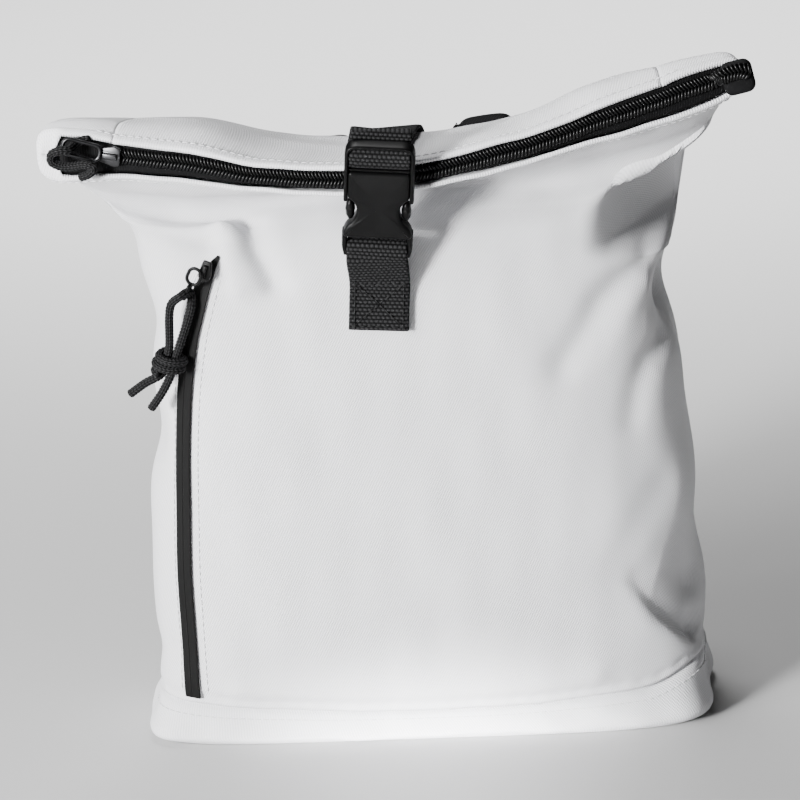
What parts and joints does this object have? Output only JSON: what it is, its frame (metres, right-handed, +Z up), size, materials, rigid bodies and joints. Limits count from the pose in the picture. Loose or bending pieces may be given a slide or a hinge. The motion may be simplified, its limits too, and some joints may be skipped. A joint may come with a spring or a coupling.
{
  "type": "mini backpack",
  "caption": "Small upright roll-top backpack of coated cloth with a zipped mouth folded forward, a webbing strap with side-release buckle, a zipped side pocket and padded shoulder straps.",
  "frame": {"origin": "middle of the flat base, on the surface that the bag stands on", "axes": "+Z up, the front with the buckle faces -Y, +X to the right seen from the front"},
  "size_m": [0.2956, 0.158, 0.2921],
  "materials": {
    "white_cloth": "coated plain-weave polyester, slight sheen",
    "zip_tape": "matte woven tape",
    "zip_coil": "moulded nylon coil",
    "gun_metal": "gunmetal plating",
    "black_cord": "braided cord",
    "black_plastic": "moulded acetal, satin",
    "black_webbing": "ribbed woven webbing",
    "black_mesh": "padded strap covered in woven cloth"
  },
  "bodies": {
    "root": {"front_panel": "white_cloth", "back_panel": "white_cloth", "base_panel": "white_cloth", "top_zip_tape": "zip_tape", "top_zip_coil": "zip_coil", "top_zip_slider": "gun_metal", "top_zip_puller": "gun_metal", "top_cord": "black_cord", "top_zip_end": "zip_tape", "side_zip_tape": "zip_tape", "side_zip_slider": "black_plastic", "side_zip_puller": "black_plastic", "side_cord": "black_cord", "side_cord_knot": "black_cord", "buckle_socket": "black_plastic", "buckle_plug": "black_plastic", "front_tab": "black_webbing", "top_strap": "black_webbing", "shoulder_strap_left": "black_mesh", "strap_adjuster_left": "black_plastic", "strap_webbing_left": "black_webbing", "shoulder_strap_right": "black_mesh", "strap_adjuster_right": "black_plastic", "strap_webbing_right": "black_webbing"}
  },
  "joints": []
}
